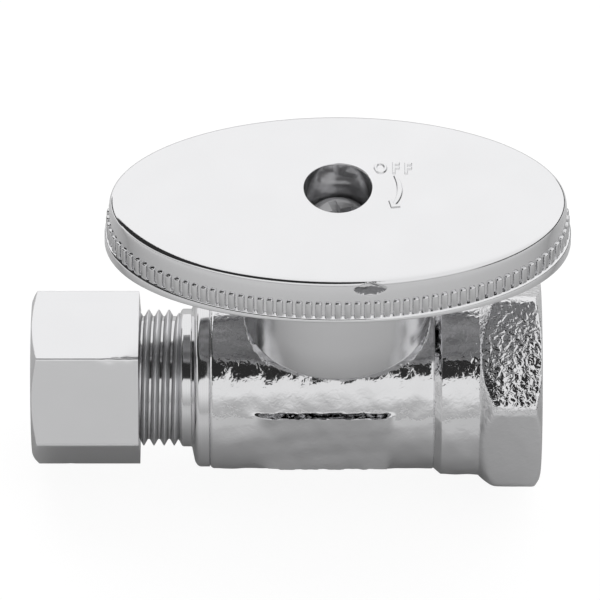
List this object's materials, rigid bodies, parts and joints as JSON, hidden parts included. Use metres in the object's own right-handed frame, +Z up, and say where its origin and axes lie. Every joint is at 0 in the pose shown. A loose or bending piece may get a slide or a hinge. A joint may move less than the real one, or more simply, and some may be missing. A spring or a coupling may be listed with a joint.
{
  "type": "straight quarter-turn stop valve",
  "caption": "Chrome straight stop valve with a threaded hex inlet, a compression nut outlet and an oval reeded handle that turns a ball a quarter turn.",
  "frame": {"origin": "centre of the inlet mouth, on the waterway axis", "axes": "+X out of the inlet mouth along the waterway, +Z up the stem to the handle, +Y to the back"},
  "size_m": [0.0557, 0.0252, 0.04],
  "materials": {
    "chrome_body": "chrome plate over a forged brass skin, turned at the spigot and shoulder",
    "chrome_handle": "bright chrome plate over a smooth die casting",
    "chrome_nut": "bright chrome plate over machined bar",
    "chrome_ball": "polished chrome plate",
    "brass": "bare machined brass",
    "seat_plastic": "white PTFE",
    "rubber": "matt black rubber",
    "steel": "bright zinc plate"
  },
  "bodies": {
    "body": {"valve_body": "chrome_body", "seat_retainer": "brass", "retainer_o_ring": "rubber", "inlet_seat": "seat_plastic", "outlet_seat": "seat_plastic", "inlet_backup_ring": "rubber", "outlet_backup_ring": "rubber", "thrust_washer": "seat_plastic", "lower_packing": "seat_plastic", "upper_packing": "seat_plastic", "packing_follower": "brass", "gland_nut": "brass"},
    "handle": {"handle": "chrome_handle", "lock_washer": "steel", "handle_screw": "steel", "stem": "brass", "stem_o_ring": "rubber"},
    "ball": {"ball": "chrome_ball"},
    "sleeve": {"compression_sleeve": "brass"},
    "nut": {"compression_nut": "chrome_nut"}
  },
  "joints": [
    {"name": "handle_turn", "type": "hinge", "parent": "body", "child": "handle", "pos_m": [-0.0212, 0, 0], "axis": [0, 0, 1], "range_deg": [-90, 0]},
    {"name": "ball_turn", "type": "hinge", "parent": "body", "child": "ball", "pos_m": [-0.0212, 0, 0], "axis": [0, 0, 1], "range_deg": [-90, 0]},
    {"name": "sleeve_slide", "type": "slide", "parent": "body", "child": "sleeve", "axis": [1, 0, 0], "range_m": [-0.00423, 0.00159]},
    {"name": "nut_turn", "type": "hinge", "parent": "sleeve", "child": "nut", "pos_m": [-0.05, 0, 0], "axis": [1, 0, 0], "range_deg": [-1440, 540]}
  ],
  "couplings": [
    {"joint": "ball_turn", "follows": "handle_turn", "ratio": 1},
    {"joint": "nut_turn", "follows": "sleeve_slide", "rad_per_m": 5937.1}
  ]
}
